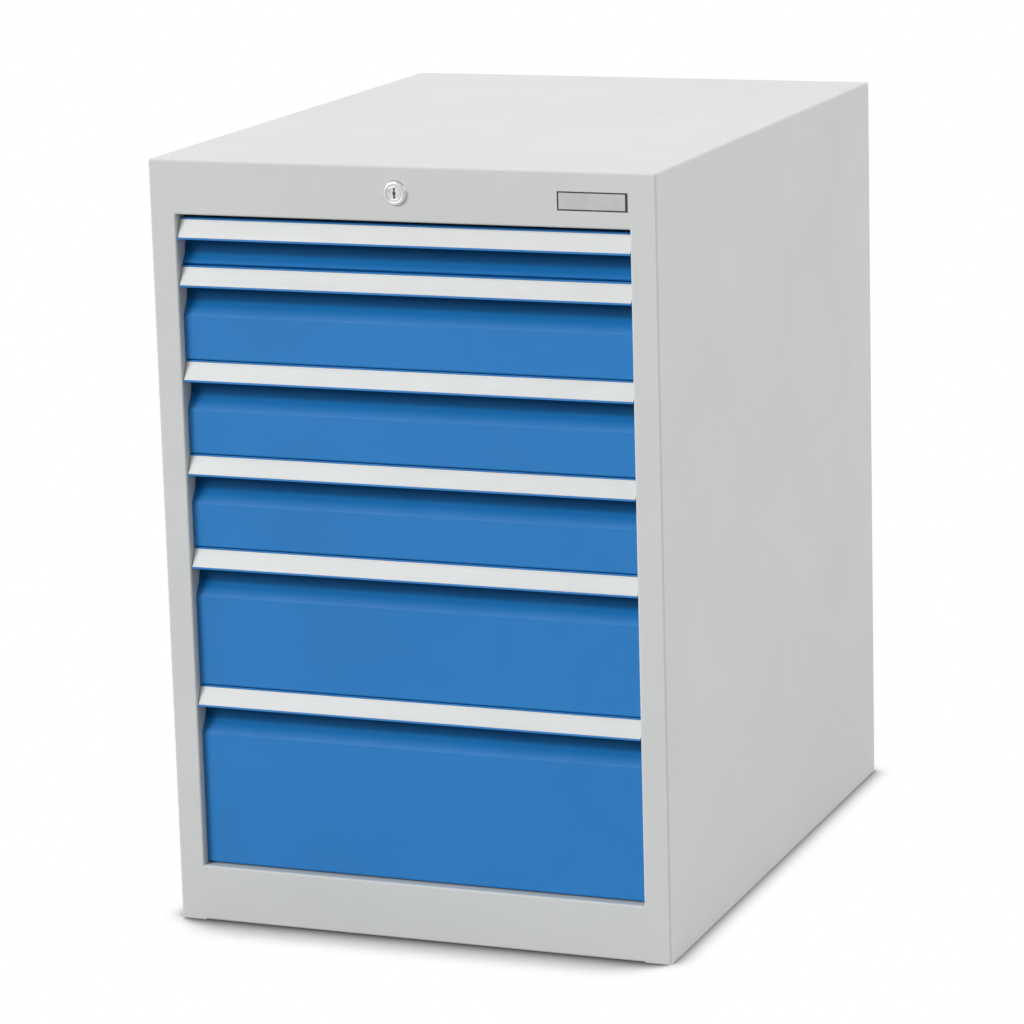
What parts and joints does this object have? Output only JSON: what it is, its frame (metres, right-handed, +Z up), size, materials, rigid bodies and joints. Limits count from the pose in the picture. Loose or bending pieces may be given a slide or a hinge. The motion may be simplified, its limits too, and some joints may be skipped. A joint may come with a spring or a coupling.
{
  "type": "drawer cabinet",
  "caption": "Free-standing steel drawer cabinet with full-width recessed grips, label strips, full-extension ball slides and a central cylinder lock.",
  "frame": {"origin": "middle of the footprint, on the floor", "axes": "+Z up, -Y out of the drawer fronts, +X to the right seen from the front"},
  "size_m": [0.555, 0.739, 0.819],
  "materials": {
    "carcass_coat": "light grey fine-texture powder coat",
    "drawer_coat": "light blue fine-texture powder coat",
    "label_strip": "satin white plastic strip",
    "zinc_steel": "zinc plated",
    "cage_steel": "bright steel",
    "nickel": "satin nickel plated",
    "name_plate": "satin, blank"
  },
  "bodies": {
    "cabinet": {"right_side_panel": "carcass_coat", "left_side_panel": "carcass_coat", "top_panel": "carcass_coat", "bottom_front_rail": "carcass_coat", "floor_panel": "carcass_coat", "back_panel": "carcass_coat", "front_uprights": "zinc_steel", "rear_uprights": "zinc_steel", "cabinet_rails": "zinc_steel", "name_plate": "name_plate", "lock_housing": "nickel", "lock_nut": "nickel", "rod_bracket": "zinc_steel", "locking_bar_guides": "zinc_steel"},
    "lock_drive": {"lock_plug": "nickel", "drive_rod": "zinc_steel"},
    "locking_bar": {"locking_bar": "zinc_steel"},
    "drawer_1": {"drawer_1_front": "drawer_coat", "drawer_1_label_strip": "label_strip", "drawer_1_tray": "carcass_coat", "drawer_1_drawer_rails": "zinc_steel"},
    "drawer_1_middle": {"drawer_1_middle_rails": "zinc_steel"},
    "drawer_1_outer_cages": {"drawer_1_outer_ball_cages": "cage_steel"},
    "drawer_1_inner_cages": {"drawer_1_inner_ball_cages": "cage_steel"},
    "drawer_2": {"drawer_2_front": "drawer_coat", "drawer_2_label_strip": "label_strip", "drawer_2_tray": "carcass_coat", "drawer_2_drawer_rails": "zinc_steel"},
    "drawer_2_middle": {"drawer_2_middle_rails": "zinc_steel"},
    "drawer_2_outer_cages": {"drawer_2_outer_ball_cages": "cage_steel"},
    "drawer_2_inner_cages": {"drawer_2_inner_ball_cages": "cage_steel"},
    "drawer_3": {"drawer_3_front": "drawer_coat", "drawer_3_label_strip": "label_strip", "drawer_3_tray": "carcass_coat", "drawer_3_drawer_rails": "zinc_steel"},
    "drawer_3_middle": {"drawer_3_middle_rails": "zinc_steel"},
    "drawer_3_outer_cages": {"drawer_3_outer_ball_cages": "cage_steel"},
    "drawer_3_inner_cages": {"drawer_3_inner_ball_cages": "cage_steel"},
    "drawer_4": {"drawer_4_front": "drawer_coat", "drawer_4_label_strip": "label_strip", "drawer_4_tray": "carcass_coat", "drawer_4_drawer_rails": "zinc_steel"},
    "drawer_4_middle": {"drawer_4_middle_rails": "zinc_steel"},
    "drawer_4_outer_cages": {"drawer_4_outer_ball_cages": "cage_steel"},
    "drawer_4_inner_cages": {"drawer_4_inner_ball_cages": "cage_steel"},
    "drawer_5": {"drawer_5_front": "drawer_coat", "drawer_5_label_strip": "label_strip", "drawer_5_tray": "carcass_coat", "drawer_5_drawer_rails": "zinc_steel"},
    "drawer_5_middle": {"drawer_5_middle_rails": "zinc_steel"},
    "drawer_5_outer_cages": {"drawer_5_outer_ball_cages": "cage_steel"},
    "drawer_5_inner_cages": {"drawer_5_inner_ball_cages": "cage_steel"},
    "drawer_6": {"drawer_6_front": "drawer_coat", "drawer_6_label_strip": "label_strip", "drawer_6_tray": "carcass_coat", "drawer_6_drawer_rails": "zinc_steel"},
    "drawer_6_middle": {"drawer_6_middle_rails": "zinc_steel"},
    "drawer_6_outer_cages": {"drawer_6_outer_ball_cages": "cage_steel"},
    "drawer_6_inner_cages": {"drawer_6_inner_ball_cages": "cage_steel"}
  },
  "joints": [
    {"name": "lock_turn", "type": "hinge", "parent": "cabinet", "child": "lock_drive", "pos_m": [-0.002, -0.368, 0.7915], "axis": [0, 1, 0], "range_deg": [0, 90]},
    {"name": "locking_bar_lift", "type": "slide", "parent": "cabinet", "child": "locking_bar", "axis": [0, 0, 1], "range_m": [0, 0.01273]},
    {"name": "drawer_1_slide", "type": "slide", "parent": "cabinet", "child": "drawer_1", "axis": [0, -1, 0], "range_m": [0, 0.6]},
    {"name": "drawer_1_middle_slide", "type": "slide", "parent": "cabinet", "child": "drawer_1_middle", "axis": [0, -1, 0], "range_m": [0, 0.3]},
    {"name": "drawer_1_outer_cages_slide", "type": "slide", "parent": "cabinet", "child": "drawer_1_outer_cages", "axis": [0, -1, 0], "range_m": [0, 0.15]},
    {"name": "drawer_1_inner_cages_slide", "type": "slide", "parent": "cabinet", "child": "drawer_1_inner_cages", "axis": [0, -1, 0], "range_m": [0, 0.45]},
    {"name": "drawer_2_slide", "type": "slide", "parent": "cabinet", "child": "drawer_2", "axis": [0, -1, 0], "range_m": [0, 0.6]},
    {"name": "drawer_2_middle_slide", "type": "slide", "parent": "cabinet", "child": "drawer_2_middle", "axis": [0, -1, 0], "range_m": [0, 0.3]},
    {"name": "drawer_2_outer_cages_slide", "type": "slide", "parent": "cabinet", "child": "drawer_2_outer_cages", "axis": [0, -1, 0], "range_m": [0, 0.15]},
    {"name": "drawer_2_inner_cages_slide", "type": "slide", "parent": "cabinet", "child": "drawer_2_inner_cages", "axis": [0, -1, 0], "range_m": [0, 0.45]},
    {"name": "drawer_3_slide", "type": "slide", "parent": "cabinet", "child": "drawer_3", "axis": [0, -1, 0], "range_m": [0, 0.6]},
    {"name": "drawer_3_middle_slide", "type": "slide", "parent": "cabinet", "child": "drawer_3_middle", "axis": [0, -1, 0], "range_m": [0, 0.3]},
    {"name": "drawer_3_outer_cages_slide", "type": "slide", "parent": "cabinet", "child": "drawer_3_outer_cages", "axis": [0, -1, 0], "range_m": [0, 0.15]},
    {"name": "drawer_3_inner_cages_slide", "type": "slide", "parent": "cabinet", "child": "drawer_3_inner_cages", "axis": [0, -1, 0], "range_m": [0, 0.45]},
    {"name": "drawer_4_slide", "type": "slide", "parent": "cabinet", "child": "drawer_4", "axis": [0, -1, 0], "range_m": [0, 0.6]},
    {"name": "drawer_4_middle_slide", "type": "slide", "parent": "cabinet", "child": "drawer_4_middle", "axis": [0, -1, 0], "range_m": [0, 0.3]},
    {"name": "drawer_4_outer_cages_slide", "type": "slide", "parent": "cabinet", "child": "drawer_4_outer_cages", "axis": [0, -1, 0], "range_m": [0, 0.15]},
    {"name": "drawer_4_inner_cages_slide", "type": "slide", "parent": "cabinet", "child": "drawer_4_inner_cages", "axis": [0, -1, 0], "range_m": [0, 0.45]},
    {"name": "drawer_5_slide", "type": "slide", "parent": "cabinet", "child": "drawer_5", "axis": [0, -1, 0], "range_m": [0, 0.6]},
    {"name": "drawer_5_middle_slide", "type": "slide", "parent": "cabinet", "child": "drawer_5_middle", "axis": [0, -1, 0], "range_m": [0, 0.3]},
    {"name": "drawer_5_outer_cages_slide", "type": "slide", "parent": "cabinet", "child": "drawer_5_outer_cages", "axis": [0, -1, 0], "range_m": [0, 0.15]},
    {"name": "drawer_5_inner_cages_slide", "type": "slide", "parent": "cabinet", "child": "drawer_5_inner_cages", "axis": [0, -1, 0], "range_m": [0, 0.45]},
    {"name": "drawer_6_slide", "type": "slide", "parent": "cabinet", "child": "drawer_6", "axis": [0, -1, 0], "range_m": [0, 0.6]},
    {"name": "drawer_6_middle_slide", "type": "slide", "parent": "cabinet", "child": "drawer_6_middle", "axis": [0, -1, 0], "range_m": [0, 0.3]},
    {"name": "drawer_6_outer_cages_slide", "type": "slide", "parent": "cabinet", "child": "drawer_6_outer_cages", "axis": [0, -1, 0], "range_m": [0, 0.15]},
    {"name": "drawer_6_inner_cages_slide", "type": "slide", "parent": "cabinet", "child": "drawer_6_inner_cages", "axis": [0, -1, 0], "range_m": [0, 0.45]}
  ],
  "couplings": [
    {"joint": "lock_turn", "follows": "locking_bar_lift", "rad_per_m": 123.41},
    {"joint": "drawer_1_middle_slide", "follows": "drawer_1_slide", "ratio": 0.5},
    {"joint": "drawer_1_outer_cages_slide", "follows": "drawer_1_slide", "ratio": 0.25},
    {"joint": "drawer_1_inner_cages_slide", "follows": "drawer_1_slide", "ratio": 0.75},
    {"joint": "drawer_2_middle_slide", "follows": "drawer_2_slide", "ratio": 0.5},
    {"joint": "drawer_2_outer_cages_slide", "follows": "drawer_2_slide", "ratio": 0.25},
    {"joint": "drawer_2_inner_cages_slide", "follows": "drawer_2_slide", "ratio": 0.75},
    {"joint": "drawer_3_middle_slide", "follows": "drawer_3_slide", "ratio": 0.5},
    {"joint": "drawer_3_outer_cages_slide", "follows": "drawer_3_slide", "ratio": 0.25},
    {"joint": "drawer_3_inner_cages_slide", "follows": "drawer_3_slide", "ratio": 0.75},
    {"joint": "drawer_4_middle_slide", "follows": "drawer_4_slide", "ratio": 0.5},
    {"joint": "drawer_4_outer_cages_slide", "follows": "drawer_4_slide", "ratio": 0.25},
    {"joint": "drawer_4_inner_cages_slide", "follows": "drawer_4_slide", "ratio": 0.75},
    {"joint": "drawer_5_middle_slide", "follows": "drawer_5_slide", "ratio": 0.5},
    {"joint": "drawer_5_outer_cages_slide", "follows": "drawer_5_slide", "ratio": 0.25},
    {"joint": "drawer_5_inner_cages_slide", "follows": "drawer_5_slide", "ratio": 0.75},
    {"joint": "drawer_6_middle_slide", "follows": "drawer_6_slide", "ratio": 0.5},
    {"joint": "drawer_6_outer_cages_slide", "follows": "drawer_6_slide", "ratio": 0.25},
    {"joint": "drawer_6_inner_cages_slide", "follows": "drawer_6_slide", "ratio": 0.75}
  ]
}
